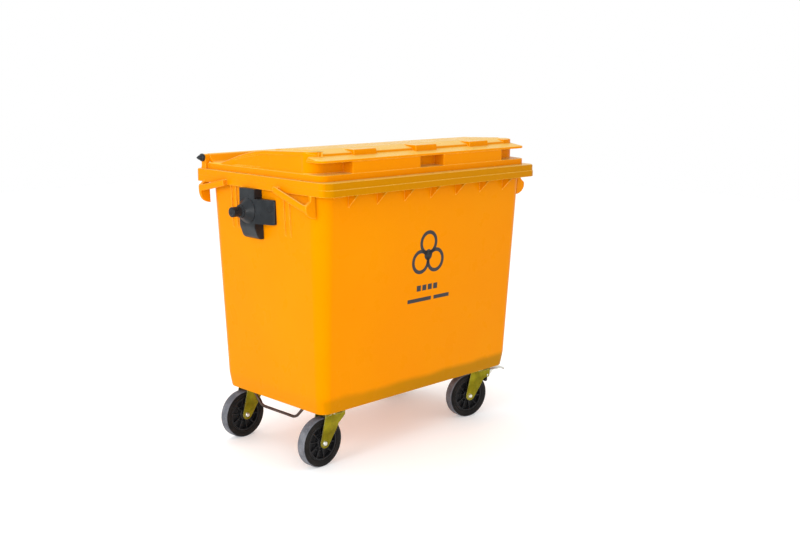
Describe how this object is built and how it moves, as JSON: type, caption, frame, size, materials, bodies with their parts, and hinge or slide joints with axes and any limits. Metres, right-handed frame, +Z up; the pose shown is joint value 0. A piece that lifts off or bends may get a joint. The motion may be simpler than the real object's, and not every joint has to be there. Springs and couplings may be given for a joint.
{
  "type": "waste bin",
  "caption": "Large wheeled waste bin: drafted yellow tub, hinged curved lid, end trunnions, swivel casters with brakes.",
  "frame": {"origin": "on the ground under the middle of the tub", "axes": "+Z up, X along the container with the braked casters at +X, -Y is the front"},
  "size_m": [1.434, 0.81, 1.253],
  "materials": {
    "yellow_plastic": "injection-moulded polyethylene, soft sheen",
    "black_plastic": "moulded black plastic, satin",
    "wheel_plastic": "moulded black plastic, satin",
    "rubber": "solid rubber, grey tread face",
    "yellow_zinc": "yellow-passivated zinc plate",
    "white_zinc": "bright zinc plate",
    "dark_steel": "dark painted round bar"
  },
  "bodies": {
    "tub": {"tub": "yellow_plastic", "hinge_rod": "dark_steel", "hinge_cap_left": "black_plastic", "hinge_cap_right": "black_plastic", "trunnion_left": "black_plastic", "trunnion_right": "black_plastic", "tow_bar": "dark_steel", "drain_seal": "rubber", "drain_plug": "black_plastic", "caster_plate_front_left": "yellow_zinc", "caster_bolt_front_left_1": "white_zinc", "caster_bolt_front_left_2": "white_zinc", "caster_bolt_front_left_3": "white_zinc", "caster_bolt_front_left_4": "white_zinc", "caster_plate_front_right": "yellow_zinc", "caster_bolt_front_right_1": "white_zinc", "caster_bolt_front_right_2": "white_zinc", "caster_bolt_front_right_3": "white_zinc", "caster_bolt_front_right_4": "white_zinc", "caster_plate_rear_left": "yellow_zinc", "caster_bolt_rear_left_1": "white_zinc", "caster_bolt_rear_left_2": "white_zinc", "caster_bolt_rear_left_3": "white_zinc", "caster_bolt_rear_left_4": "white_zinc", "caster_plate_rear_right": "yellow_zinc", "caster_bolt_rear_right_1": "white_zinc", "caster_bolt_rear_right_2": "white_zinc", "caster_bolt_rear_right_3": "white_zinc", "caster_bolt_rear_right_4": "white_zinc"},
    "lid": {"lid": "yellow_plastic"},
    "fork_front_left": {"swivel_bearing_front_left": "yellow_zinc", "fork_front_left": "yellow_zinc", "axle_front_left": "white_zinc"},
    "wheel_front_left": {"wheel_bush_front_left": "white_zinc", "wheel_centre_front_left": "wheel_plastic", "tyre_front_left": "rubber"},
    "fork_front_right": {"swivel_bearing_front_right": "yellow_zinc", "fork_front_right": "yellow_zinc", "axle_front_right": "white_zinc"},
    "wheel_front_right": {"wheel_bush_front_right": "white_zinc", "wheel_centre_front_right": "wheel_plastic", "tyre_front_right": "rubber"},
    "brake_front_right": {"brake_pedal_front_right": "white_zinc", "brake_block_front_right": "rubber"},
    "fork_rear_left": {"swivel_bearing_rear_left": "yellow_zinc", "fork_rear_left": "yellow_zinc", "axle_rear_left": "white_zinc"},
    "wheel_rear_left": {"wheel_bush_rear_left": "white_zinc", "wheel_centre_rear_left": "wheel_plastic", "tyre_rear_left": "rubber"},
    "fork_rear_right": {"swivel_bearing_rear_right": "yellow_zinc", "fork_rear_right": "yellow_zinc", "axle_rear_right": "white_zinc"},
    "wheel_rear_right": {"wheel_bush_rear_right": "white_zinc", "wheel_centre_rear_right": "wheel_plastic", "tyre_rear_right": "rubber"},
    "brake_rear_right": {"brake_pedal_rear_right": "white_zinc", "brake_block_rear_right": "rubber"}
  },
  "joints": [
    {"name": "lid_hinge", "type": "hinge", "parent": "tub", "child": "lid", "pos_m": [0, 0.361, 1.188], "axis": [-1, 0, 0], "range_deg": [0, 240]},
    {"name": "swivel_front_left", "type": "hinge", "parent": "tub", "child": "fork_front_left", "pos_m": [-0.447, -0.248, 0.22], "axis": [0, 0, 1], "continuous": true},
    {"name": "wheel_spin_front_left", "type": "hinge", "parent": "fork_front_left", "child": "wheel_front_left", "pos_m": [-0.521, -0.248, 0.1], "axis": [0, 1, 0], "continuous": true},
    {"name": "swivel_front_right", "type": "hinge", "parent": "tub", "child": "fork_front_right", "pos_m": [0.447, -0.248, 0.22], "axis": [0, 0, 1], "continuous": true},
    {"name": "wheel_spin_front_right", "type": "hinge", "parent": "fork_front_right", "child": "wheel_front_right", "pos_m": [0.37473, -0.23211, 0.1], "axis": [0.2147, 0.9767, 0], "continuous": true},
    {"name": "brake_front_right", "type": "hinge", "parent": "fork_front_right", "child": "brake_front_right", "pos_m": [0.46751, -0.25251, 0.185], "axis": [0.2147, 0.9767, 0], "range_deg": [0, 8]},
    {"name": "swivel_rear_left", "type": "hinge", "parent": "tub", "child": "fork_rear_left", "pos_m": [-0.447, 0.248, 0.22], "axis": [0, 0, 1], "continuous": true},
    {"name": "wheel_spin_rear_left", "type": "hinge", "parent": "fork_rear_left", "child": "wheel_rear_left", "pos_m": [-0.521, 0.248, 0.1], "axis": [0, 1, 0], "continuous": true},
    {"name": "swivel_rear_right", "type": "hinge", "parent": "tub", "child": "fork_rear_right", "pos_m": [0.447, 0.248, 0.22], "axis": [0, 0, 1], "continuous": true},
    {"name": "wheel_spin_rear_right", "type": "hinge", "parent": "fork_rear_right", "child": "wheel_rear_right", "pos_m": [0.373, 0.248, 0.1], "axis": [0, 1, 0], "continuous": true},
    {"name": "brake_rear_right", "type": "hinge", "parent": "fork_rear_right", "child": "brake_rear_right", "pos_m": [0.468, 0.248, 0.185], "axis": [0, 1, 0], "range_deg": [0, 8]}
  ]
}
